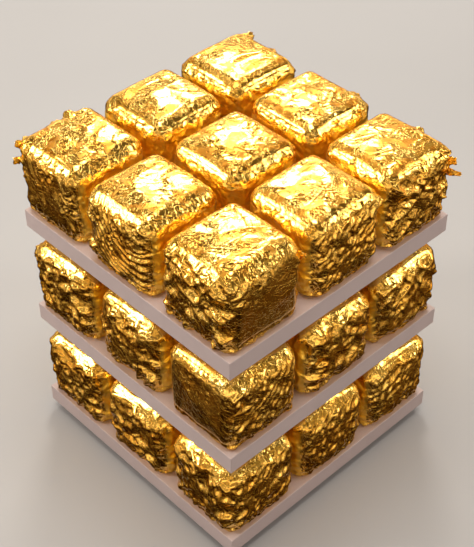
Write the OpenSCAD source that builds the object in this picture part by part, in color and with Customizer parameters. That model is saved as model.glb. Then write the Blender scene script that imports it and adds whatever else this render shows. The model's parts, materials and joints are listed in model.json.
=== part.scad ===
// Three-tier block cube. Three square plates stand one above the other on an
// upright stepped spindle, and each carries a three by three grid of rounded
// blocks. The bottom tier is screwed to the spindle. The middle and the top
// tier each turn on it without limit, in a plain bush that rests on a thrust
// washer. Millimetres, +Z up, origin on the ground under the spindle's axis.
// Left and right are -X and +X, front and back are -Y and +Y.

/* [Plates] */
// Side of each square plate
plate_side = 140; // [138:1:146]
// Thickness of each plate
plate_t = 10; // [9.5:0.5:12]
// Height from one plate to the next
tier_pitch = 60; // [60:1:66]
// Radius of the plates' softened edges
plate_edge_r = 0.4; // [0.2:0.1:1]

/* [Blocks] */
// Width and depth of each block
block_side = 42; // [40:0.5:42]
// Height of each block
block_h = 41; // [39:0.5:43]
// Distance between the centres of neighbouring blocks
block_pitch = 48; // [45:0.5:48]
// Radius of a block's rounded edges
block_r = 5.5; // [3:0.5:6]

/* [Spindle] */
// Spindle diameter inside the bottom tier
spindle_low_d = 24; // [22:1:24]
// Spindle diameter that the middle tier turns on
spindle_mid_d = 18; // [16:1:18]
// Spindle diameter that the top tier turns on
spindle_top_d = 12; // [11:0.5:13]
// Diameter of the spindle's flange, let into the bottom plate
flange_d = 42; // [41:1:46]
// Radial clearance between the spindle and a bush that turns on it
running_gap = 0.05; // [0.02:0.01:0.1]

/* [Bushes and washers] */
// Outer diameter of the middle tier's bush
bush_mid_d = 26; // [26:0.5:27]
// Outer diameter of the top tier's bush
bush_top_d = 20; // [19:0.5:21]
// How far each bush stands up into its centre block
bush_collar_h = 5; // [4:0.5:6]
// Thickness of each bush's flange
bush_flange_t = 1.6; // [1:0.1:1.8]
// Thickness of each thrust washer
thrust_t = 1.2; // [0.8:0.1:1.5]
// Diameter of the bush flanges and thrust washers
thrust_d = 32; // [30:1:36]
// End play left above each bush
end_play = 0.3; // [0.2:0.05:0.5]

/* [Feet] */
// Height of each rubber foot
foot_h = 5; // [4:0.5:8]
// Largest diameter of each foot
foot_d = 14; // [12:0.5:16]
// Distance of each foot's centre in from the plate's edges
foot_inset = 11; // [10:0.5:14]

/* [Hidden] */
$fn = 64;
eps = 0.01;             // how far a cutter passes a face
assembly_gap = 0.05;    // radial clearance of a screw or a push fit
drill_extra = 1;        // how far a blind hole runs past its screw's end
screw_headroom = 3;     // space over the end screw's head inside the top centre block

// Heights of the tiers
ground_to_plate = foot_h;
low_shoulder = tier_pitch - bush_flange_t - thrust_t;
flange_t = plate_t / 2;

// Screws: shank and head diameters, lengths
block_screw_d = 3.5;
block_screw_head_d = 7;
block_screw_l = 20;
flange_screw_d = 4;
flange_screw_head_d = 8;
flange_screw_circle = 32;
flange_screws = 4;
foot_screw_d = 3;
foot_screw_head_d = 6;
foot_screw_head_h = 1.8;
foot_screw_l = 9;
foot_sink = 2.4;        // depth of a foot's screw recess
foot_head_room = 1;     // recess diameter over the screw head's
foot_sole_taper = 1.5;  // how much narrower a foot's sole is
cap_screw_d = 6;
cap_screw_l = 16;
cap_screw_head_d = 10.5;
cap_screw_head_h = 3.3;
cap_screw_head_top = 0.6;   // diameter of the head's flat top as a part of its own
cap_socket_flat = 4;
cross_slot_w = 0.9;
cross_slot_part = 0.6;  // slot length as a part of the head's diameter
cap_washer_t = 1.6;
cap_washer_margin = 1;  // the end washer is this much smaller in radius than its recess

// Retaining ring over the middle bush
ring_t = 1.2;
ring_groove_d = spindle_mid_d - 1;
ring_band = 2;          // radial width of the ring
ring_gap_angle = 40;    // width of the ring's opening
ring_lug_angle = 28;    // each lug's centre from the middle of the opening
ring_lug_d = 3.4;
ring_lug_hole_d = 1.6;
ring_side_gap = 0.05;

// Heights inside a moving tier, from its plate's underside
collar_top = plate_t + bush_collar_h;
ring_z = collar_top + end_play;

centre_bore_d = bush_mid_d + 2 * assembly_gap;
top_recess_d = bush_top_d + 2 * assembly_gap;
top_recess_h = bush_collar_h + end_play + cap_washer_t + cap_screw_head_h + screw_headroom;

TIERS = ["bottom", "middle", "top"];
ROWS = ["front", "middle", "back"];
COLUMNS = ["left", "centre", "right"];
FEET = [for (r = ["front", "back"], c = ["left", "right"]) str("foot_", r, "_", c)];
BLOCKS = [for (t = TIERS, r = ROWS, c = COLUMNS) str(t, "_block_", r, "_", c)];

// Underside of a tier's plate: 0 is the bottom tier, 2 the top one
function plate_z(tier) = ground_to_plate + tier * tier_pitch;

// A rectangle with corners of radius r
module round_rectangle(w, h, r)
{
    square([w, h - 2 * r], center = true);
    square([w - 2 * r, h], center = true);
    for (sx = [-1, 1], sy = [-1, 1]) {
        translate([sx * (w / 2 - r), sy * (h / 2 - r)])
            circle(r);
    }
}

// A square slab standing on z = 0 with every edge rounded
module round_slab(side, h, r)
{
    translate([0, 0, h / 2])
        intersection() {
            linear_extrude(h, center = true)
                round_rectangle(side, side, r);
            rotate([90, 0, 0])
                linear_extrude(side, center = true)
                    round_rectangle(side, h, r);
            rotate([0, 90, 0])
                linear_extrude(side, center = true)
                    round_rectangle(h, side, r);
        }
}

// A ring between two diameters
module tube(outer_d, inner_d, h)
{
    linear_extrude(h)
        difference() {
            circle(d = outer_d);
            circle(d = inner_d);
        }
}

// A countersunk screw, head down, with its head's face on z = 0
module countersunk_screw(d, head_d, l)
{
    cone_h = (head_d - d) / 2;
    difference() {
        union() {
            cylinder(h = cone_h, d1 = head_d, d2 = d);
            cylinder(h = l, d = d);
        }
        for (turn = [0, 90]) {
            rotate([0, 0, turn])
                translate([0, 0, cone_h / 4])
                    cube([head_d * cross_slot_part, cross_slot_w, cone_h], center = true);
        }
    }
}

// What a countersunk screw needs cut away
module countersunk_hole(d, head_d, l)
{
    cone_h = (head_d - d) / 2;
    hole_d = d + 2 * assembly_gap;
    cylinder(h = cone_h, d1 = head_d + 2 * assembly_gap, d2 = hole_d);
    cylinder(h = l, d = hole_d);
    translate([0, 0, -eps])
        cylinder(h = 2 * eps, d = head_d + 2 * assembly_gap);
}

// Children at each of a tier's eight outer block places
module at_outer_blocks()
{
    for (ix = [-1, 0, 1], iy = [-1, 0, 1]) {
        if (ix != 0 || iy != 0) {
            translate([ix * block_pitch, iy * block_pitch, 0])
                children();
        }
    }
}

// Children at each foot's place
module at_feet()
{
    reach = plate_side / 2 - foot_inset;
    for (sx = [-1, 1], sy = [-1, 1]) {
        translate([sx * reach, sy * reach, 0])
            children();
    }
}

// Children at each flange screw's place
module at_flange_screws()
{
    for (i = [0 : flange_screws - 1]) {
        rotate([0, 0, 45 + i * 360 / flange_screws])
            translate([flange_screw_circle / 2, 0, 0])
                children();
    }
}

// A square plate drilled for its block screws
module plate()
{
    difference() {
        round_slab(plate_side, plate_t, plate_edge_r);
        at_outer_blocks()
            countersunk_hole(block_screw_d, block_screw_head_d, plate_t + eps);
    }
}

// The bottom plate, let in for the spindle's flange and drilled for its screws and the feet
module base_plate()
{
    foot_hole_h = foot_screw_l - (foot_h - foot_sink) + drill_extra;
    color("#e9ddd2")
        translate([0, 0, plate_z(0)])
            difference() {
                plate();
                translate([0, 0, plate_t - flange_t])
                    cylinder(h = flange_t + eps, d = flange_d + 2 * assembly_gap);
                at_flange_screws()
                    countersunk_hole(flange_screw_d, flange_screw_head_d, plate_t);
                at_feet()
                    translate([0, 0, -eps])
                        cylinder(h = foot_hole_h, d = foot_screw_d + 2 * assembly_gap);
            }
}

// The stepped spindle: flange, locating boss, three journals, ring groove and tapped end
module spindle()
{
    flange_low = plate_z(0) + plate_t - flange_t;
    boss_top = plate_z(0) + collar_top;
    shoulder_mid = plate_z(0) + low_shoulder;
    shoulder_top = plate_z(1) + low_shoulder;
    end_z = plate_z(2) + collar_top + end_play;
    groove_z = plate_z(1) + ring_z - ring_side_gap;
    color("silver")
        difference() {
            union() {
                translate([0, 0, flange_low])
                    cylinder(h = flange_t, d = flange_d);
                translate([0, 0, flange_low])
                    cylinder(h = boss_top - flange_low, d = bush_mid_d);
                translate([0, 0, flange_low])
                    cylinder(h = shoulder_mid - flange_low, d = spindle_low_d);
                translate([0, 0, flange_low])
                    cylinder(h = shoulder_top - flange_low, d = spindle_mid_d);
                translate([0, 0, flange_low])
                    cylinder(h = end_z - flange_low, d = spindle_top_d);
            }
            translate([0, 0, groove_z])
                tube(spindle_low_d, ring_groove_d, ring_t + 2 * ring_side_gap);
            translate([0, 0, end_z - cap_screw_l])
                cylinder(h = cap_screw_l + eps, d = cap_screw_d + 2 * assembly_gap);
            at_flange_screws()
                translate([0, 0, flange_low - eps])
                    cylinder(h = flange_t + 2 * eps, d = flange_screw_d + 2 * assembly_gap);
        }
}

// Four countersunk screws up through the bottom plate into the spindle's flange
module spindle_screws()
{
    color("gray")
        translate([0, 0, plate_z(0)])
            at_flange_screws()
                countersunk_screw(flange_screw_d, flange_screw_head_d, plate_t - drill_extra);
}

// One turned rubber foot with a sunk hole for its screw
module foot(sx, sy)
{
    reach = plate_side / 2 - foot_inset;
    color("#2b2826")
        translate([sx * reach, sy * reach, 0])
            difference() {
                cylinder(h = foot_h, d1 = foot_d - foot_sole_taper, d2 = foot_d);
                translate([0, 0, -eps])
                    cylinder(h = foot_h + 2 * eps, d = foot_screw_d + 2 * assembly_gap);
                translate([0, 0, -eps])
                    cylinder(h = foot_sink + eps, d = foot_screw_head_d + foot_head_room);
            }
}

// The feet's pan-head screws, up into the bottom plate
module foot_screws()
{
    color("gray")
        at_feet()
            translate([0, 0, foot_sink])
                difference() {
                    union() {
                        translate([0, 0, -foot_screw_head_h])
                            cylinder(h = foot_screw_head_h, d = foot_screw_head_d);
                        cylinder(h = foot_screw_l, d = foot_screw_d);
                    }
                    for (turn = [0, 90]) {
                        rotate([0, 0, turn])
                            translate([0, 0, -foot_screw_head_h])
                                cube([foot_screw_head_d * cross_slot_part, cross_slot_w,
                                      foot_screw_head_h], center = true);
                    }
                }
}

// A moving tier's plate
module moving_plate(tier, bush_d)
{
    color("#e9ddd2")
        translate([0, 0, plate_z(tier)])
            difference() {
                plate();
                translate([0, 0, -eps])
                    cylinder(h = plate_t + 2 * eps, d = bush_d);
            }
}

// A flanged bush: flange under the plate, collar above it inside the centre block
module bush(tier, outer_d, shaft_d)
{
    color("#b5924c")
        translate([0, 0, plate_z(tier)])
            difference() {
                union() {
                    translate([0, 0, -bush_flange_t])
                        cylinder(h = bush_flange_t, d = thrust_d);
                    translate([0, 0, -bush_flange_t])
                        cylinder(h = collar_top + bush_flange_t, d = outer_d);
                }
                translate([0, 0, -bush_flange_t - eps])
                    cylinder(h = collar_top + bush_flange_t + 2 * eps,
                             d = shaft_d + 2 * running_gap);
            }
}

// A thrust washer on the spindle's shoulder, under a bush
module thrust_washer(tier, shaft_d)
{
    color("ivory")
        translate([0, 0, plate_z(tier) - bush_flange_t - thrust_t])
            tube(thrust_d, shaft_d + 2 * running_gap, thrust_t);
}

// Children at the retaining ring's two lugs, beside its opening
module at_lugs()
{
    for (s = [-1, 1]) {
        rotate([0, 0, s * ring_lug_angle])
            translate([ring_groove_d / 2 + ring_lug_d / 2, 0])
                children();
    }
}

// The open retaining ring in the spindle's groove, with its two lugs
module middle_retaining_ring()
{
    opening = 2 * ring_groove_d * [cos(ring_gap_angle / 2), sin(ring_gap_angle / 2)];
    color("dimgray")
        translate([0, 0, plate_z(1) + ring_z])
            linear_extrude(ring_t)
                difference() {
                    union() {
                        circle(r = ring_groove_d / 2 + ring_band);
                        at_lugs()
                            circle(d = ring_lug_d);
                    }
                    circle(d = ring_groove_d);
                    polygon([[0, 0], opening, [opening.x, -opening.y]]);
                    at_lugs()
                        circle(d = ring_lug_hole_d);
                }
}

// The washer clamped to the spindle's end, which holds the top tier down
module end_washer()
{
    color("silver")
        translate([0, 0, plate_z(2) + collar_top + end_play])
            tube(bush_top_d - 2 * cap_washer_margin, cap_screw_d + 2 * assembly_gap,
                 cap_washer_t);
}

// The button-head screw in the spindle's tapped end
module end_screw()
{
    seat_z = plate_z(2) + collar_top + end_play + cap_washer_t;
    color("dimgray")
        translate([0, 0, seat_z])
            difference() {
                union() {
                    cylinder(h = cap_screw_head_h, d1 = cap_screw_head_d,
                             d2 = cap_screw_head_d * cap_screw_head_top);
                    translate([0, 0, -cap_screw_l])
                        cylinder(h = cap_screw_l + cap_screw_head_h / 3, d = cap_screw_d);
                }
                translate([0, 0, cap_screw_head_h / 3])
                    cylinder(h = cap_screw_head_h, d = cap_socket_flat / cos(30), $fn = 6);
            }
}

// Eight countersunk screws, up through a tier's plate into its outer blocks
module block_screws(tier)
{
    color("gray")
        translate([0, 0, plate_z(tier)])
            at_outer_blocks()
                countersunk_screw(block_screw_d, block_screw_head_d, block_screw_l);
}

// One block: an outer one is drilled for its screw, a centre one fits over the spindle
module block(tier, row, column)
{
    centre = row == 1 && column == 1;
    color("#d9a52c")
        translate([(column - 1) * block_pitch, (row - 1) * block_pitch, plate_z(tier) + plate_t])
            difference() {
                round_slab(block_side, block_h, block_r);
                if (!centre) {
                    translate([0, 0, -eps])
                        cylinder(h = block_screw_l - plate_t + drill_extra,
                                 d = block_screw_d + 2 * assembly_gap);
                }
                if (centre && tier < 2) {
                    translate([0, 0, -eps])
                        cylinder(h = block_h + 2 * eps, d = centre_bore_d);
                }
                if (centre && tier == 2) {
                    translate([0, 0, -eps])
                        cylinder(h = top_recess_h + eps, d = top_recess_d);
                }
            }
}

module middle_plate() { moving_plate(1, bush_mid_d); }
module top_plate() { moving_plate(2, bush_top_d); }
module middle_bush() { bush(1, bush_mid_d, spindle_mid_d); }
module top_bush() { bush(2, bush_top_d, spindle_top_d); }
module middle_thrust_washer() { thrust_washer(1, spindle_mid_d); }
module top_thrust_washer() { thrust_washer(2, spindle_top_d); }

base_plate();
spindle();
spindle_screws();
foot_screws();
for (iy = [0, 1], ix = [0, 1])
    foot(2 * ix - 1, 2 * iy - 1);
middle_plate();
middle_bush();
middle_thrust_washer();
middle_retaining_ring();
top_plate();
top_bush();
top_thrust_washer();
end_washer();
end_screw();
block_screws(0);  // bottom_block_screws
block_screws(1);  // middle_block_screws
block_screws(2);  // top_block_screws
for (tier = [0 : 2], row = [0 : 2], column = [0 : 2])
    block(tier, row, column);
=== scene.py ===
"""Looks of the three-tier block cube: gold-leafed blocks on white plates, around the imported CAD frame."""
import json
import math

import bpy
import numpy as np
from mathutils import Matrix, Vector

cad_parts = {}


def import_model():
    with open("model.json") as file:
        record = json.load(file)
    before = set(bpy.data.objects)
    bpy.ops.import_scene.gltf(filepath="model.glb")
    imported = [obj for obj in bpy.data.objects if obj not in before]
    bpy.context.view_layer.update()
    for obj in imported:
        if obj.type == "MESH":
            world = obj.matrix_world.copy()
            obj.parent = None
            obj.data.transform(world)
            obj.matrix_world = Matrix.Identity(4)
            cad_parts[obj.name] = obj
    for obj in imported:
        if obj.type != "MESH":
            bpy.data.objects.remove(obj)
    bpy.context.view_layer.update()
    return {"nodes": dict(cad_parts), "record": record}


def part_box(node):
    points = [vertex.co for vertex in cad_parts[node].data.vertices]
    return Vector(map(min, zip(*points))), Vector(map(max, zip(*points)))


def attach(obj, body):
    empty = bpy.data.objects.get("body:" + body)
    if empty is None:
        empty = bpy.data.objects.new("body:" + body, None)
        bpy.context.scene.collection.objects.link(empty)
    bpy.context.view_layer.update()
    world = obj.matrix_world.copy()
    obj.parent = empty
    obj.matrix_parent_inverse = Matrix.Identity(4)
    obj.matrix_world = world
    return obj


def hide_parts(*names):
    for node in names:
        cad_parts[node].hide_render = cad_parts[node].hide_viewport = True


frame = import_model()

MM = 0.001

# Camera: the photograph's viewing angle
CAMERA_AZIMUTH = 46.6
CAMERA_ELEVATION = 41.8
CAMERA_ROLL = -0.39
CAMERA_DISTANCE = 0.6127
CAMERA_AIM = (0.0005, 0.0963)      # to the camera's right of the spindle, and above the ground
CAMERA_LENS = 82.7
SENSOR = 36.0

TIERS = ("bottom", "middle", "top")
ROWS = ("front", "middle", "back")
COLUMNS = ("left", "centre", "right")
FACE_AXES = {
    "left": (-1, 0, 0), "right": (1, 0, 0), "front": (0, -1, 0),
    "back": (0, 1, 0), "bottom": (0, 0, -1), "top": (0, 0, 1),
}

# Mesh points along a block's side
TOP_TIER_GRID = 96
LOWER_TIER_GRID = 68
BLOCK_ROUND = np.array((6.4, 6.4, 8.2))   # mm, radii of the leafed edges, across and up
TOP_CROWN = (1.8, 2.6)  # mm, how far a block's top is domed
SIDE_CROWN = 1.4        # mm, how far its sides are
TOP_LEAN = 0.45         # mm, how far a top leans at its edges
LEAF_PROUD = 0.9        # mm, how far the leaf mostly stands proud of the CAD block
LEAF_REACH = 1.7        # mm, how far it may lie in or out of that
FOLD_POWER = 1.35       # how round the folds' crests are
RIM_CALM = 0.74         # how much of the crumpling is taken off along a top's rim
CROWN_MEAN = 0.62       # the part of a face's swelling that is taken back at its edges
FOOT_BAND = 6           # mm, how far up the sides the leaf spreads at the foot


# ---------------------------------------------------------------- noise fields

class Field:
    """Seeded noise over space. Points are in millimetres."""

    def __init__(self, seed, calm):
        self.calm = calm        # how little of a block's top is torn and laid double
        rng = np.random.default_rng(seed)
        self.perm = rng.permutation(256)
        vectors = rng.normal(size=(256, 3))
        self.grad = vectors / np.linalg.norm(vectors, axis=1)[:, None]
        self.level = rng.random(3)      # sets the directions of a block's wrinkles

    def _hash(self, cell):
        c = cell & 255
        return self.perm[(self.perm[(self.perm[c[:, 0]] + c[:, 1]) & 255] + c[:, 2]) & 255]

    def soft(self, points, size):
        """Smooth gradient noise of that feature size, about -1 to 1."""
        p = points / size
        cell = np.floor(p).astype(int)
        f = p - cell
        fade = f * f * f * (f * (f * 6 - 15) + 10)
        total = np.zeros(len(p))
        for corner in np.ndindex(2, 2, 2):
            corner = np.array(corner)
            g = self.grad[self._hash(cell + corner)]
            weight = np.prod(np.where(corner, fade, 1 - fade), axis=1)
            total += weight * np.einsum("ij,ij->i", g, f - corner)
        return 1.6 * total


def warped(field, points, size, amount):
    """The points, pushed about by soft noise."""
    shift = np.stack([field.soft(points + off, size) for off in (11.3, 47.9, 83.1)], axis=1)
    return points + amount * shift


def smoothstep(lo, hi, x):
    t = np.clip((x - lo) / (hi - lo), 0, 1)
    return t * t * (3 - 2 * t)


# ---------------------------------------------------------------- leaf styles
# Each gives a height in millimetres over the points of a block, in the block's own frame.

def drawn(p, direction, stretch):
    """The points, so pressed together along a direction that noise over them is drawn out along it."""
    d = np.array(direction, float)
    d /= np.linalg.norm(d)
    return p - (1 - 1 / stretch) * (p @ d)[:, None] * d


def foil(field, p, size, slope, octaves=3):
    """Crumpled foil of a given steepness: facets between sharp ridges and valleys, at several scales."""
    q = warped(field, p, size * 1.6, size * 0.4)
    h = np.zeros(len(p))
    for octave in range(octaves):
        s = size * 0.5 ** octave
        ridged = s * (np.abs(field.soft(q + 17.3 * octave, s)) - 0.25)
        h += ridged if octave % 2 else -ridged
    return slope / math.sqrt(octaves) * h


def creases(field, p, size, width, height):
    """A net of thin raised wrinkles of that width in millimetres."""
    q = warped(field, p, size * 0.8, size * 0.25)
    line = 1 - np.abs(field.soft(q, size)) * size / (1.1 * width)
    return height * np.clip(line, 0, 1) ** 1.3


def torn(field, p, size, share, edge=0.06):
    """Where leaf lies double: 1 inside ragged patches of that size, 0 outside."""
    q = warped(field, warped(field, p, size * 0.7, size * 0.25), size * 0.2, size * 0.06)
    return smoothstep(share, share + edge, field.soft(q + 40, size))


def plane_axes(face, turn):
    """Two directions in a face, the first turned from level by an angle in degrees."""
    normal = np.array(FACE_AXES[face], float)
    level = np.cross((0, 0, 1), normal) if normal[2] == 0 else np.array((1.0, 0, 0))
    rise = np.cross(normal, level)
    c, s = math.cos(math.radians(turn)), math.sin(math.radians(turn))
    return c * level + s * rise, c * rise - s * level


def style_smooth(field, p, face):
    """A side that faces a neighbour."""
    return 0.4 * field.soft(p, 12) + foil(field, p, 7, 0.26, 2) + torn(field, p, 6, 0.15, 0.05) * 0.3


def style_sheen(field, p, face):
    """A top: gently wavy, finely wrinkled several ways, with crumpled patches where leaf lies double."""
    first, second = plane_axes(face, 30 + 50 * field.level[0])
    over = torn(field, p, 12, field.calm, 0.10)
    way = smoothstep(-0.12, 0.12, field.soft(p + 70, 15))
    lines = (way * creases(field, drawn(p, first, 6), 5.0, 0.6, 0.08)
             + (1 - way) * creases(field, drawn(p + 9, second, 6), 5.0, 0.6, 0.08)
             + creases(field, drawn(p + 33, first + second, 4), 8.0, 0.7, 0.12))
    return (0.5 * field.soft(p, 17) + foil(field, p, 12, 0.07, 1) + lines
            + over * (0.15 + foil(field, drawn(p, first, 2), 4.4, 0.15, 2)))


def uneven(field, p, size, low):
    """A share that goes from low, where leaf lies calm, to 1, where it is crumpled."""
    return low + (1 - low) * smoothstep(-0.16, 0.2, field.soft(p + 90, size))


def style_crinkled(field, p, face):
    """A side crumpled in some places, and calm with long wrinkles in others."""
    first, second = plane_axes(face, 180 * field.level[1])
    rough = uneven(field, p, 9, 0.12)
    return (0.5 * field.soft(p, 12) + foil(field, p, 11, 0.42, 1)
            + foil(field, drawn(p, second, 2), 6, 0.3, 1)
            + rough * (foil(field, drawn(p, first, 4.5), 4.4, 0.55, 2)
                       + foil(field, drawn(p, second, 5), 2.4, 0.26, 1))
            + creases(field, drawn(p, second, 6), 4.5, 0.7, 0.3))


def style_flaky(field, p, face):
    """A side with torn pieces of leaf laid over each other."""
    first, second = plane_axes(face, 180 * field.level[2])
    rough = uneven(field, p, 8, 0.25)
    return (0.4 * field.soft(p, 12) + foil(field, p, 10, 0.42, 1)
            + foil(field, drawn(p, second, 2), 5, 0.3, 1)
            + 0.4 * torn(field, p, 6, 0.0) + 0.25 * torn(field, drawn(p + 25, first, 2), 3.6, 0.05)
            + rough * (foil(field, drawn(p, first, 4), 3.8, 0.52, 2)
                       + foil(field, drawn(p, second, 5), 2.2, 0.28, 1))
            + creases(field, drawn(p, second, 6), 4.0, 0.7, 0.3))


def style_mirror(field, p, face):
    """A side left nearly smooth, with a few long wrinkles and crumpled leaf above."""
    first, second = plane_axes(face, -50)
    upper = smoothstep(9, 19, p[:, 2] + 20 * field.soft(p + 12, 11) - 0.3 * (p @ first))
    lines = (creases(field, drawn(p, first, 5), 5.0, 0.6, 0.28)
             + creases(field, drawn(p + 8, second, 4), 6.0, 0.6, 0.22))
    return (0.35 * field.soft(p, 20) + foil(field, p, 18, 0.07, 1) + lines * (0.08 + 0.8 * upper)
            + upper * foil(field, p, 4.6, 0.42, 2))


def folds(s):
    """Folds side by side along a number line, one to a unit, with narrow crests."""
    return (1 - np.abs(np.sin(math.pi * s))) ** (1 / FOLD_POWER)


def style_folded(field, p, face):
    """Slanting folds over a crumpled ground."""
    along, across = plane_axes(face, 52)
    q = warped(field, p, 8, 1.8)
    s = q @ across / 3.6 + 0.5 * field.soft(p + 60, 10)
    strength = smoothstep(-0.25, 0.15, field.soft(drawn(p + 30, along, 2), 8))
    return (0.4 * field.soft(p, 12) + foil(field, p, 10, 0.3) + strength * 0.75 * folds(s)
            + uneven(field, p, 8, 0.2) * foil(field, drawn(p, along, 3), 3.4, 0.42, 2)
            + (1 - strength) * foil(field, p, 5, 0.35))


def style_bowed(field, p, face):
    """Folds bowed about the face's upper corner."""
    level, rise = plane_axes(face, 0)
    q = warped(field, p, 9, 1.6)
    x, y = q @ level - 13, q @ rise - 22
    r = np.hypot(1.15 * x, y)
    lower = smoothstep(15, 23, r + 4 * field.soft(p, 9)) * smoothstep(-20, -8, p @ level)
    depth = 0.9 + 0.5 * field.soft(p + 20, 8)
    return (0.35 * field.soft(p, 12) + lower * depth * folds(r / 3.4 + 0.6 * field.soft(p, 11))
            + foil(field, p, 6, 0.45) * (1.2 - lower)
            + uneven(field, p, 8, 0.1) * foil(field, p, 3.0, 0.3, 1))


def style_streaked(field, p, face):
    """Upright streaks of fold in leaf that is nearly smooth otherwise."""
    level, rise = plane_axes(face, 8)
    q = warped(field, p, 9, 1.6)
    s = q @ level / 4.6 + 0.5 * field.soft(drawn(p + 60, rise, 3), 8)
    strength = smoothstep(-0.3, 0.1, field.soft(drawn(p + 30, rise, 3), 7))
    return (0.3 * field.soft(p, 12) + strength * 0.8 * folds(s) + foil(field, drawn(p, rise, 4), 4.5, 0.3, 1)
            + creases(field, drawn(p + 5, rise, 6), 4.0, 0.6, 0.3)
            + smoothstep(0.05, 0.3, field.soft(p + 77, 10)) * foil(field, p, 4, 0.4, 2))


STYLES = {
    "smooth": style_smooth, "sheen": style_sheen, "crinkled": style_crinkled, "flaky": style_flaky,
    "mirror": style_mirror, "folded": style_folded, "bowed": style_bowed, "streaked": style_streaked,
}
OUTER_STYLES = ("crinkled", "flaky", "folded", "crinkled", "streaked")

# Faces whose leaf is of a known kind; the others take theirs by turns
FACE_STYLES = {
    "top_block_front_right": {"front": "flaky", "right": "mirror"},
    "top_block_front_centre": {"front": "bowed"},
    "top_block_front_left": {"front": "streaked"},
    "top_block_middle_right": {"right": "folded"},
    "top_block_back_right": {"right": "flaky"},
    "middle_block_front_right": {"front": "mirror", "right": "folded"},
    "middle_block_front_centre": {"front": "flaky"},
    "middle_block_front_left": {"front": "flaky"},
    "middle_block_middle_right": {"right": "flaky"},
    "middle_block_back_right": {"right": "crinkled"},
    "bottom_block_front_right": {"front": "crinkled", "right": "folded"},
    "bottom_block_front_centre": {"front": "crinkled"},
    "bottom_block_front_left": {"front": "flaky"},
    "bottom_block_middle_right": {"right": "folded"},
    "bottom_block_back_right": {"right": "folded"},
}


# How far some leafed blocks sit from their CAD blocks, in mm: away from the camera, and to its right
BLOCK_SHIFTS = {
    "top_block_front_left": (1.6, -1.2),
    "top_block_front_centre": (0.6, -0.6),
    "top_block_front_right": (0.5, 0.3),
    "top_block_middle_left": (1.2, -0.8),
    "top_block_middle_right": (0.8, 0.6),
    "top_block_back_left": (0.6, -0.3),
    "top_block_back_centre": (0.3, 0.3),
    "top_block_back_right": (0.2, 0),
}

# Lumps of spare leaf that stand out: place on the block from -1 to 1, reach and height in mm
LUMPS = {
    "top_block_back_left": [(-0.62, 0.95, 0.9, 2.2, 3.0), (0.2, 1, 0.85, 2.5, 1.6)],
    "top_block_front_left": [
        (-0.9, 0.35, 0.95, 2.4, 2.6), (-1, -0.85, 0.75, 3.0, 2.2), (-1, -0.95, 0.35, 2.8, 2.0),
        (-0.95, -1, 0.0, 2.6, 1.6), (-1, 0, 0.9, 3.0, 1.4),
    ],
    "top_block_back_right": [
        (1, 0.8, 0.8, 3.0, 2.4), (1, 0.95, 0.4, 3.0, 2.2), (0.1, 1, 0.9, 2.4, 2.2),
        (1, 0.95, -0.3, 3.2, 2.0),
    ],
    "top_block_back_centre": [(0.5, 1, 0.9, 2.6, 2.0), (1, 0.6, 0.9, 2.6, 1.8)],
    "top_block_front_right": [
        (-0.9, -1, -0.85, 3.6, 2.6), (-0.3, -1, -0.95, 3.4, 2.6), (0.5, -1, -0.95, 3.0, 2.2),
        (1, 0.95, 0.5, 3.0, 2.4),
    ],
    "top_block_front_centre": [(-0.95, -1, 0.3, 3.0, 1.8), (-0.8, -1, -0.5, 3.0, 1.8)],
    "top_block_middle_right": [(0.9, 1, 0.6, 3.0, 2.0)],
    "middle_block_front_left": [(-1, -0.9, 0.6, 3.0, 1.8)],
    "middle_block_back_right": [(1, 0.9, 0.2, 3.0, 2.0)],
}

# How calm the leaf lies on the tops that show
TOP_CALM_USUAL = 0.32
TOP_CALM = {
    "top_block_middle_centre": 0.10, "top_block_back_centre": 0.06, "top_block_back_right": 0.16,
    "top_block_middle_right": 0.22, "top_block_front_left": 0.24, "top_block_middle_left": 0.6,
    "top_block_back_left": 0.4, "top_block_front_centre": 0.36, "top_block_front_right": 0.3,
}


def face_style(name, row, column, face):
    """The leaf style of one face of a block."""
    if face == "top":
        return "sheen"
    if face == "bottom":
        return "smooth"
    outer = {"front": row == 0, "back": row == 2, "left": column == 0, "right": column == 2}[face]
    if not outer:
        return "smooth"
    given = FACE_STYLES.get(name, {})
    if face in given:
        return given[face]
    turn = 3 * row + column + 2 * list(FACE_AXES).index(face) + len(name)
    return OUTER_STYLES[turn % len(OUTER_STYLES)]


# ---------------------------------------------------------------- block meshes

def cube_grid(count):
    """Points of a unit cube's surface and its quads, with the faces' shared edges welded."""
    t = np.linspace(-1, 1, count + 1)
    index, points, quads = {}, [], []
    for axis in range(3):
        for sign in (-1, 1):
            ids = np.zeros((count + 1, count + 1), int)
            for i in range(count + 1):
                for j in range(count + 1):
                    key = [0, 0, 0]
                    key[axis] = count if sign > 0 else 0
                    key[(axis + 1) % 3] = i
                    key[(axis + 2) % 3] = j
                    key = tuple(key)
                    if key not in index:
                        index[key] = len(points)
                        points.append([t[k] for k in key])
                    ids[i, j] = index[key]
            a, b = ids[:-1, :-1].ravel(), ids[1:, :-1].ravel()
            c, d = ids[1:, 1:].ravel(), ids[:-1, 1:].ravel()
            quads.append(np.stack([a, b, c, d] if sign > 0 else [a, d, c, b], axis=1))
    return np.array(points), np.concatenate(quads)


GRIDS = {n: cube_grid(n) for n in (TOP_TIER_GRID, LOWER_TIER_GRID)}


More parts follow.
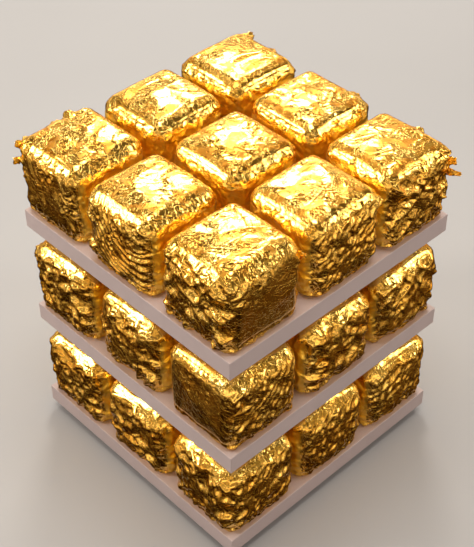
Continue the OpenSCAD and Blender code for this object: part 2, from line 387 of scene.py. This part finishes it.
def mesh_object(name, verts, faces, **marks):
    """A mesh object from points in millimetres and quads, with any marks as values at its points."""
    mesh = bpy.data.meshes.new(name)
    faces = np.asarray(faces)
    sides = faces.shape[1]
    mesh.vertices.add(len(verts))
    mesh.vertices.foreach_set("co", (np.asarray(verts) * MM).astype(np.float32).ravel())
    mesh.loops.add(faces.size)
    mesh.loops.foreach_set("vertex_index", faces.astype(np.int32).ravel())
    mesh.polygons.add(len(faces))
    mesh.polygons.foreach_set("loop_start", np.arange(0, faces.size, sides, dtype=np.int32))
    mesh.update(calc_edges=True)
    mesh.validate()
    mesh.polygons.foreach_set("use_smooth", np.full(len(faces), True))
    for mark, values in marks.items():
        mesh.attributes.new(mark, "FLOAT", "POINT").data.foreach_set("value", values.astype(np.float32))
    obj = bpy.data.objects.new(name, mesh)
    bpy.context.scene.collection.objects.link(obj)
    return obj


def tangents(normals, turn):
    """Unit vectors in the surface, turned by the given angles, and those square to them."""
    up = np.where(np.abs(normals[:, 2:]) > 0.9, (1.0, 0.0, 0.0), (0.0, 0.0, 1.0))
    side = np.cross(up, normals)
    side /= np.linalg.norm(side, axis=1)[:, None]
    rise = np.cross(normals, side)
    along = side * np.cos(turn)[:, None] + rise * np.sin(turn)[:, None]
    return along, np.cross(normals, along)


FLAKE_LONG, FLAKE_WIDE = 5, 4       # quads along and across a flake
FLAKE_SHEET = 0.07                  # mm, thickness of a flake
FLAKE_ROOT = 0.35                   # mm, how far its fast end lies under the surface


def flake_quads():
    """The quads of one closed flake: upper sheet, lower sheet and rim."""
    rows, columns = FLAKE_LONG + 1, FLAKE_WIDE + 1
    ids = np.arange(rows * columns).reshape(rows, columns)
    a, b = ids[:-1, :-1].ravel(), ids[1:, :-1].ravel()
    c, d = ids[1:, 1:].ravel(), ids[:-1, 1:].ravel()
    upper = np.stack([a, b, c, d], axis=1)
    below = rows * columns
    lower = upper[:, ::-1] + below
    loop = np.concatenate([ids[0, :-1], ids[:-1, -1], ids[-1, :0:-1], ids[:0:-1, 0]])
    after = np.roll(loop, -1)
    rim = np.stack([loop, after, after + below, loop + below], axis=1)
    return np.concatenate([upper, lower, rim])


FLAKE_QUADS = flake_quads()


def flakes(rng, roots, normals, turn, length, width, lift):
    """Torn flakes of leaf, one at each root: fast to the surface at one end, lifted at the other."""
    count = len(roots)
    along, across = tangents(normals, turn)
    u = np.linspace(0, 1, FLAKE_LONG + 1)[None, :, None]
    v = np.linspace(-0.5, 0.5, FLAKE_WIDE + 1)[None, None, :]
    shape = (count, FLAKE_LONG + 1, FLAKE_WIDE + 1)
    taper = rng.uniform(0.25, 1.1, (count, 1, 1))
    spread = 1 + (taper - 1) * u ** 1.5
    ragged = rng.normal(0, 0.06, shape)
    x = (u + ragged * (u > 0)) * length[:, None, None]
    y = (v * spread + rng.normal(0, 0.04, shape)) * width[:, None, None]
    curl = rng.uniform(0.9, 2.2, (count, 1, 1))
    lift = lift[:, None, None]
    z = -FLAKE_ROOT + (lift + FLAKE_ROOT) * u ** curl + rng.normal(0, 0.05, shape) * (0.6 + lift)
    p = (roots[:, None, None] + along[:, None, None] * x[..., None]
         + across[:, None, None] * y[..., None] + normals[:, None, None] * z[..., None])
    under = p - normals[:, None, None] * FLAKE_SHEET
    both = np.concatenate([p.reshape(count, -1, 3), under.reshape(count, -1, 3)], axis=1)
    step = both.shape[1]
    quads = (FLAKE_QUADS[None] + step * np.arange(count)[:, None, None]).reshape(-1, 4)
    return both.reshape(-1, 3), quads


# Flakes that stand out: place on the block from -1 to 1, turn, length, width and lift in mm
STANDING_FLAKES = {
    "top_block_back_right": [(1, 1, 0.25, 172, 3.6, 4.8, 5.6), (1, 1, 0.5, 150, 2.4, 4.0, 3.4)],
    "top_block_front_right": [(1, 1, 0.6, 160, 2.6, 4.5, 2.6)],
    "top_block_front_left": [(-1, -1, 0.8, 36, 2.4, 4.0, 2.4), (-1, -1, 0.4, 16, 2.4, 3.6, 2.2)],
    "top_block_back_centre": [(0.97, -0.3, 0.8, 30, 4.5, 4.0, 1.2)],
}


def leaf_flakes(name, rng, p, normal, half):
    """The flakes that stand out from one block."""
    if name not in STANDING_FLAKES:
        return []
    given = np.array(STANDING_FLAKES[name], float)
    nearest = [np.argmin(((p - spot * half) ** 2).sum(axis=1)) for spot in given[:, :3]]
    turn, length, width, lift = given[:, 3:].T
    return [flakes(rng, p[nearest], normal[nearest], np.radians(turn), length, width, lift)]


def joined(parts):
    """Several point and quad arrays as one."""
    points, quads, start = [], [], 0
    for p, q in parts:
        points.append(p)
        quads.append(q + start)
        start += len(p)
    return np.concatenate(points), np.concatenate(quads)


def rounded_block(half, unit):
    """Points of a rounded block, from those of a unit cube, and the surface's normals there."""
    outer = unit * half
    core = np.clip(outer, -(half - BLOCK_ROUND), half - BLOCK_ROUND)
    bend = (outer - core) / BLOCK_ROUND
    bend /= np.linalg.norm(bend, axis=1)[:, None]
    normal = bend / BLOCK_ROUND
    return core + bend * BLOCK_ROUND, normal / np.linalg.norm(normal, axis=1)[:, None]


def styled(field, styles, shares, p, normal):
    """Height of the faces' own leaf, blended over the edges and calmer along the top's rim."""
    height = np.zeros(len(p))
    for face, share in shares.items():
        used = share > 1e-3
        h = np.zeros(len(p))
        h[used] = STYLES[styles[face]](field, p[used], face)
        height += h * share / sum(shares.values())
    rim = smoothstep(0.2, 0.5, normal[:, 2]) * smoothstep(0.97, 0.85, normal[:, 2])
    return height * (1 - RIM_CALM * rim)


def domed(unit, normal, crown, lean):
    """Height from the swelling of a block's faces and the leaning of its top."""
    square = 1 - unit ** 2
    height = np.clip(normal[:, 2], 0, 1) ** 2 * (unit[:, :2] @ lean)
    for axis in range(3):
        full = crown if axis == 2 else SIDE_CROWN
        swell = full * (square[:, axis - 1] * square[:, axis - 2] - CROWN_MEAN)
        height += swell * normal[:, axis] ** 2 * (normal[:, 2] > -0.5)
    return height


def flared(field, half, p, normal):
    """Height of the leaf that spreads where the sides meet the plate."""
    foot = smoothstep(-half[2] + FOOT_BAND, -half[2] + 1, p[:, 2])
    foot = foot * (np.hypot(normal[:, 0], normal[:, 1]) > 0.5)
    spread = np.clip(field.soft(p * (1, 1, 0.3) + 15, 5), 0, 1)
    return foot * (0.2 + 2.2 * spread + foil(field, p + 55, 2.4, 0.7, 2))


def lumped(field, name, half, p):
    """Height of the lumps of spare leaf."""
    height = np.zeros(len(p))
    for *spot, reach, rise in LUMPS.get(name, ()):
        gap = p + 1.2 * (warped(field, p, 2.5, 1) - p) - spot * half
        near = np.exp(-(gap ** 2).sum(axis=1) / reach ** 2)
        height += rise * near * (1 + foil(field, p + 66, 2.6, 0.8, 1))
    return height


def leafed_block(name, tier, row, column, seed):
    """One gold-leafed block in place of its CAD node."""
    lo, hi = (np.array(c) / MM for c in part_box(name))
    centre, half = (lo + hi) / 2, (hi - lo) / 2
    unit, quads = GRIDS[TOP_TIER_GRID if tier == 2 else LOWER_TIER_GRID]
    p, normal = rounded_block(half, unit)
    rng = np.random.default_rng(seed)
    field = Field(seed, TOP_CALM.get(name, TOP_CALM_USUAL))
    crown = rng.uniform(*TOP_CROWN)
    lean = rng.uniform(-TOP_LEAN, TOP_LEAN, 2)
    styles = {face: face_style(name, row, column, face) for face in FACE_AXES}
    shares = {f: np.clip(normal @ np.array(a, float), 0, 1) ** 3 for f, a in FACE_AXES.items()}
    height = (styled(field, styles, shares, p, normal) + domed(unit, normal, crown, lean)
              + flared(field, half, p, normal))
    height = LEAF_REACH * np.tanh(height / LEAF_REACH) + lumped(field, name, half, p)
    p = p + normal * (LEAF_PROUD + height)[:, None]
    p[:, 2] = np.maximum(p[:, 2], -half[2] + 0.02)

    points, faces = joined([(p, quads)] + leaf_flakes(name, rng, p, normal, half))
    points[:, 2] = np.maximum(points[:, 2], -half[2] + 0.05)
    inner = sum(shares[f] for f, style in styles.items() if style == "smooth") / sum(shares.values())
    # Low on the sides that face a neighbour, the leaf is rougher and its colour a brighter orange: the
    # colour is painted glow of the light caught between the blocks.
    sheltered = smoothstep(0.5, 1.0, inner) * smoothstep(17, 11, p[:, 2])
    # On random patches of the tops the leaf is rougher and its colour a darker orange: the colour is painted
    # shade.
    shade_patches = torn(field, p + 21, 6.5, 0.12 + 0.5 * field.calm, 0.08)
    worn = smoothstep(0.6, 0.9, normal[:, 2]) * shade_patches
    on_flakes = np.zeros(len(points) - len(p))
    away, aside = BLOCK_SHIFTS.get(name, (0, 0))
    azimuth = math.radians(CAMERA_AZIMUTH)
    centre += away * np.array((-math.sin(azimuth), math.cos(azimuth), 0))
    centre += aside * np.array((math.cos(azimuth), math.sin(azimuth), 0))
    return mesh_object(name + "_leafed", points + centre, faces,
                       sheltered=np.concatenate([sheltered, on_flakes]),
                       worn=np.concatenate([worn, on_flakes]))


# ---------------------------------------------------------------- materials

class Nodes:
    """Short calls for building one material's node tree."""

    def __init__(self, name):
        self.material = bpy.data.materials.new(name)
        self.material.use_nodes = True
        self.tree = self.material.node_tree
        self.shader = self.tree.nodes["Principled BSDF"]
        coords = self.tree.nodes.new("ShaderNodeTexCoord")
        self.place = coords.outputs["Object"]

    def add(self, kind, **values):
        node = self.tree.nodes.new(kind)
        for key, value in values.items():
            setattr(node, key, value)
        return node

    def link(self, source, target):
        self.tree.links.new(source, target)

    def noise(self, scale, detail=4.0, rough=0.55, distortion=0.0, place=None):
        node = self.add("ShaderNodeTexNoise")
        node.inputs["Scale"].default_value = scale
        node.inputs["Detail"].default_value = detail
        node.inputs["Roughness"].default_value = rough
        node.inputs["Distortion"].default_value = distortion
        self.link(place or self.place, node.inputs["Vector"])
        return node.outputs["Fac"]

    def ramp(self, source, stops):
        node = self.add("ShaderNodeValToRGB")
        elements = node.color_ramp.elements
        while len(elements) < len(stops):
            elements.new(0.5)
        for element, (at, colour) in zip(elements, stops):
            element.position = at
            element.color = (*colour, 1)
        self.link(source, node.inputs["Fac"])
        return node.outputs["Color"]

    def levels(self, source, lo, hi, out_lo, out_hi):
        node = self.add("ShaderNodeMapRange")
        for key, value in (("From Min", lo), ("From Max", hi), ("To Min", out_lo), ("To Max", out_hi)):
            node.inputs[key].default_value = value
        self.link(source, node.inputs["Value"])
        return node.outputs["Result"]

    def wrinkles(self, turn, scale, stretch, width):
        """Thin lines drawn out along one turned axis."""
        turned = self.add("ShaderNodeMapping", vector_type="TEXTURE")
        turned.inputs["Rotation"].default_value = turn
        turned.inputs["Scale"].default_value = (stretch, 1, 1)
        self.link(self.place, turned.inputs["Vector"])
        middle = self.add("ShaderNodeMath", operation="SUBTRACT")
        middle.inputs[1].default_value = 0.5
        self.link(self.noise(scale, 1.5, 0.5, 0.5, turned.outputs["Vector"]), middle.inputs[0])
        away = self.add("ShaderNodeMath", operation="ABSOLUTE")
        self.link(middle.outputs[0], away.inputs[0])
        return self.levels(away.outputs[0], 0, width, 1, 0)

    def bump(self, source, strength, distance, under=None):
        node = self.add("ShaderNodeBump")
        node.inputs["Strength"].default_value = strength
        node.inputs["Distance"].default_value = distance
        self.link(source, node.inputs["Height"])
        if under is not None:
            self.link(under, node.inputs["Normal"])
        return node.outputs["Normal"]


def gold_leaf():
    """Gold leaf: warm, patchy metal, finely wrinkled every way, with painted glow low in the gaps between
    blocks and painted shade on patches of the tops.
    """
    n = Nodes("gold_leaf")
    n.shader.inputs["Metallic"].default_value = 1.0
    patches = n.noise(75, 6, 0.62, 0.6)
    colour = n.ramp(patches, [
        (0.30, (0.94, 0.52, 0.08)), (0.42, (1.0, 0.63, 0.13)),
        (0.55, (1.0, 0.70, 0.18)), (0.72, (1.0, 0.77, 0.25)),
    ])
    sheltered = n.add("ShaderNodeAttribute", attribute_name="sheltered").outputs["Fac"]
    worn = n.add("ShaderNodeAttribute", attribute_name="worn").outputs["Fac"]
    rough = n.levels(n.noise(210, 5, 0.6), 0.3, 0.7, 0.06, 0.20)
    # Two marks tint and roughen the leaf: the brighter orange low between the blocks is painted glow, the
    # darker orange on patches of the tops is painted shade.
    for mark, tint, rougher in ((sheltered, (1.0, 0.72, 0.13), 0.22), (worn, (0.86, 0.42, 0.06), 0.16)):
        mix = n.add("ShaderNodeMixRGB")
        mix.inputs["Color2"].default_value = (*tint, 1)
        n.link(mark, mix.inputs["Fac"])
        n.link(colour, mix.inputs["Color1"])
        colour = mix.outputs["Color"]
        more = n.add("ShaderNodeMath", operation="MULTIPLY_ADD")
        more.inputs[1].default_value = rougher
        n.link(mark, more.inputs[0])
        n.link(rough, more.inputs[2])
        rough = more.outputs[0]
    n.link(colour, n.shader.inputs["Base Color"])
    n.link(rough, n.shader.inputs["Roughness"])
    bump = None
    for turn, scale, width, depth in (
        ((0.4, 0.9, 0.3), 300, 0.012, 0.00007), ((2.1, 0.5, 1.3), 300, 0.012, 0.00007),
        ((1.2, 2.2, 2.6), 560, 0.022, 0.00003),
    ):
        bump = n.bump(n.wrinkles(turn, scale, 4.0, width), 0.8, depth, bump)
    grain = n.noise(2400, 3, 0.6)
    n.link(n.bump(grain, 0.2, 0.00006, bump), n.shader.inputs["Normal"])
    return n.material


def white_sheet():
    """The plates' pale, faintly pink sheet."""
    n = Nodes("white_sheet")
    tint = n.noise(22, 5, 0.6)
    n.link(n.ramp(tint, [(0.3, (0.63, 0.51, 0.49)), (0.7, (0.68, 0.55, 0.53))]),
           n.shader.inputs["Base Color"])
    n.link(n.levels(n.noise(140, 5, 0.6), 0.3, 0.7, 0.42, 0.6), n.shader.inputs["Roughness"])
    n.link(n.bump(n.noise(1400, 3, 0.5), 0.08, 0.0002), n.shader.inputs["Normal"])
    return n.material


def plain_metal(name, colour, roughness, grain_scale):
    """Satin metal with a faint grain."""
    n = Nodes(name)
    n.shader.inputs["Metallic"].default_value = 1.0
    dark = tuple(0.8 * c for c in colour)
    n.link(n.ramp(n.noise(grain_scale, 4, 0.6), [(0.35, dark), (0.65, colour)]),
           n.shader.inputs["Base Color"])
    n.link(n.levels(n.noise(grain_scale * 3, 4, 0.6), 0.3, 0.7, roughness * 0.8, roughness * 1.3),
           n.shader.inputs["Roughness"])
    n.link(n.bump(n.noise(grain_scale * 8, 3, 0.5), 0.1, 0.0001), n.shader.inputs["Normal"])
    return n.material


def plain_moulding(name, colour, roughness, bump):
    """Moulded plastic or rubber."""
    n = Nodes(name)
    dark = tuple(0.78 * c for c in colour)
    n.link(n.ramp(n.noise(120, 5, 0.6), [(0.35, dark), (0.65, colour)]), n.shader.inputs["Base Color"])
    n.link(n.levels(n.noise(300, 4, 0.6), 0.3, 0.7, roughness - 0.08, roughness + 0.08),
           n.shader.inputs["Roughness"])
    n.link(n.bump(n.noise(2200, 3, 0.5), bump, 0.0002), n.shader.inputs["Normal"])
    return n.material


def give(obj, material):
    """The only material of an object."""
    obj.data.materials.clear()
    obj.data.materials.append(material)


MATERIALS = {
    "gold_leaf": gold_leaf(),
    "white_sheet": white_sheet(),
    "turned_steel": plain_metal("turned_steel", (0.60, 0.60, 0.62), 0.3, 300),
    "bush_bronze": plain_metal("bush_bronze", (0.62, 0.42, 0.20), 0.35, 300),
    "zinc_steel": plain_metal("zinc_steel", (0.62, 0.63, 0.66), 0.32, 500),
    "black_steel": plain_metal("black_steel", (0.10, 0.10, 0.11), 0.4, 500),
    "nylon": plain_moulding("nylon", (0.82, 0.80, 0.74), 0.45, 0.05),
    "rubber": plain_moulding("rubber", (0.035, 0.033, 0.031), 0.7, 0.25),
}
for part in frame["record"]["subparts"]:
    give(frame["nodes"][part["node"]], MATERIALS[part["material_slot"]])


# ---------------------------------------------------------------- the blocks

for tier, tier_name in enumerate(TIERS):
    for row, row_name in enumerate(ROWS):
        for column, column_name in enumerate(COLUMNS):
            node = f"{tier_name}_block_{row_name}_{column_name}"
            block = leafed_block(node, tier, row, column, 100 * tier + 10 * row + column + 7)
            give(block, MATERIALS["gold_leaf"])
            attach(block, tier_name.replace("bottom", "base") + "_tier")
            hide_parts(node)


# ---------------------------------------------------------------- floor, light, camera

FLOOR_HALF = 3000.0     # mm


def floor():
    """A plain pale floor, which the gold doesn't mirror. Far off it glows a little, so it stays pale."""
    half = FLOOR_HALF
    obj = mesh_object("floor", [(-half, -half, 0), (half, -half, 0), (half, half, 0), (-half, half, 0)],
                      [(0, 1, 2, 3)])
    n = Nodes("floor")
    n.link(n.ramp(n.noise(3, 3, 0.5), [(0.3, (0.50, 0.49, 0.48)), (0.7, (0.53, 0.52, 0.51))]),
           n.shader.inputs["Base Color"])
    n.shader.inputs["Roughness"].default_value = 0.9
    reach = n.add("ShaderNodeVectorMath", operation="LENGTH")
    n.link(n.place, reach.inputs[0])
    n.shader.inputs["Emission Color"].default_value = (0.62, 0.59, 0.56, 1)
    n.link(n.levels(reach.outputs["Value"], 0.35, 2.0, 0, 0.72), n.shader.inputs["Emission Strength"])
    give(obj, n.material)
    obj.visible_glossy = False


def softbox(name, at, size, power):
    """A soft oval lamp that faces the object."""
    light = bpy.data.lights.new(name, "AREA")
    light.shape = "ELLIPSE"
    light.size, light.size_y = size
    light.energy = power
    light.color = WARM
    obj = bpy.data.objects.new(name, light)
    bpy.context.scene.collection.objects.link(obj)
    obj.location = at
    obj.rotation_euler = (Vector(AIM) - Vector(at)).to_track_quat("-Z", "Y").to_euler()
    obj.visible_camera = False


def world():
    """What the gold mirrors, dim below and warmer above in soft patches, and the grey the camera sees."""
    scene = bpy.context.scene
    scene.world = bpy.data.worlds.new("studio")
    scene.world.use_nodes = True
    tree = scene.world.node_tree
    back = tree.nodes["Background"]
    coords = tree.nodes.new("ShaderNodeTexCoord")
    split = tree.nodes.new("ShaderNodeSeparateXYZ")
    tree.links.new(coords.outputs["Generated"], split.inputs[0])
    height = tree.nodes.new("ShaderNodeMapRange")
    height.inputs["From Min"].default_value = -1
    tree.links.new(split.outputs["Z"], height.inputs["Value"])
    glow = tree.nodes.new("ShaderNodeValToRGB")
    stops = [(0.0, (0.05, 0.025, 0.008)), (0.25, (0.07, 0.035, 0.012)), (0.42, (0.78, 0.52, 0.27)),
             (0.56, (1.3, 0.98, 0.64)), (0.70, (0.46, 0.31, 0.15)), (1.0, (0.5, 0.35, 0.2))]
    while len(glow.color_ramp.elements) < len(stops):
        glow.color_ramp.elements.new(0.5)
    for element, (at, colour) in zip(glow.color_ramp.elements, stops):
        element.position = at
        element.color = (*colour, 1)
    tree.links.new(height.outputs["Result"], glow.inputs["Fac"])
    cloud = tree.nodes.new("ShaderNodeTexNoise")
    cloud.inputs["Scale"].default_value = 3.2
    cloud.inputs["Detail"].default_value = 2.0
    tree.links.new(coords.outputs["Generated"], cloud.inputs["Vector"])
    patch = tree.nodes.new("ShaderNodeMapRange")
    patch.interpolation_type = "SMOOTHSTEP"
    for key, value in (("From Min", 0.42), ("From Max", 0.62), ("To Min", 0.25), ("To Max", 1.6)):
        patch.inputs[key].default_value = value
    tree.links.new(cloud.outputs["Fac"], patch.inputs["Value"])
    tree.links.new(glow.outputs["Color"], back.inputs["Color"])
    tree.links.new(patch.outputs["Result"], back.inputs["Strength"])
    path = tree.nodes.new("ShaderNodeLightPath")
    room = tree.nodes.new("ShaderNodeBackground")
    room.inputs["Color"].default_value = (0.30, 0.27, 0.25, 1)
    mirrored = tree.nodes.new("ShaderNodeMixShader")
    tree.links.new(path.outputs["Is Glossy Ray"], mirrored.inputs["Fac"])
    tree.links.new(room.outputs[0], mirrored.inputs[1])
    tree.links.new(back.outputs[0], mirrored.inputs[2])
    seen = tree.nodes.new("ShaderNodeBackground")
    seen.inputs["Color"].default_value = (0.62, 0.59, 0.56, 1)
    mix = tree.nodes.new("ShaderNodeMixShader")
    tree.links.new(path.outputs["Is Camera Ray"], mix.inputs["Fac"])
    tree.links.new(mirrored.outputs[0], mix.inputs[1])
    tree.links.new(seen.outputs[0], mix.inputs[2])
    tree.links.new(mix.outputs[0], tree.nodes["World Output"].inputs["Surface"])


def direction(azimuth, elevation):
    """The unit vector towards something seen at that bearing and height, in degrees."""
    a, e = math.radians(azimuth), math.radians(elevation)
    return Vector((math.sin(a) * math.cos(e), -math.cos(a) * math.cos(e), math.sin(e)))


def camera():
    """The camera, at the photograph's viewing angle."""
    a = math.radians(CAMERA_AZIMUTH)
    right = Vector((math.cos(a), math.sin(a), 0))
    aim = right * CAMERA_AIM[0] + Vector((0, 0, CAMERA_AIM[1]))
    data = bpy.data.cameras.new("camera")
    data.lens = CAMERA_LENS
    data.sensor_width = SENSOR
    obj = bpy.data.objects.new("camera", data)
    bpy.context.scene.collection.objects.link(obj)
    away = direction(CAMERA_AZIMUTH, CAMERA_ELEVATION)
    turn = (-away).to_track_quat("-Z", "Y").to_matrix().to_4x4()
    roll = Matrix.Rotation(math.radians(CAMERA_ROLL), 4, "Z")
    obj.matrix_world = Matrix.Translation(aim + away * CAMERA_DISTANCE) @ turn @ roll
    bpy.context.scene.camera = obj


AIM = (0, 0, 0.1)           # where the lamps point
WARM = (1.0, 0.95, 0.88)
LAMP_DISTANCE = 1.1
floor()
world()
softbox("overhead", (0.0, 0.0, 1.05), (0.6, 0.6), 6.4)
softbox("back", direction(CAMERA_AZIMUTH + 180, 43) * LAMP_DISTANCE, (0.32, 0.24), 3.5)
softbox("left", direction(CAMERA_AZIMUTH - 86, 30) * LAMP_DISTANCE, (0.24, 0.4), 3.4)
softbox("right", direction(CAMERA_AZIMUTH + 88, 30) * LAMP_DISTANCE, (0.24, 0.4), 1.5)
camera()
bpy.context.scene.cycles.max_bounces = 20
bpy.context.scene.cycles.glossy_bounces = 20

bpy.context.scene.view_settings.view_transform = "Standard"
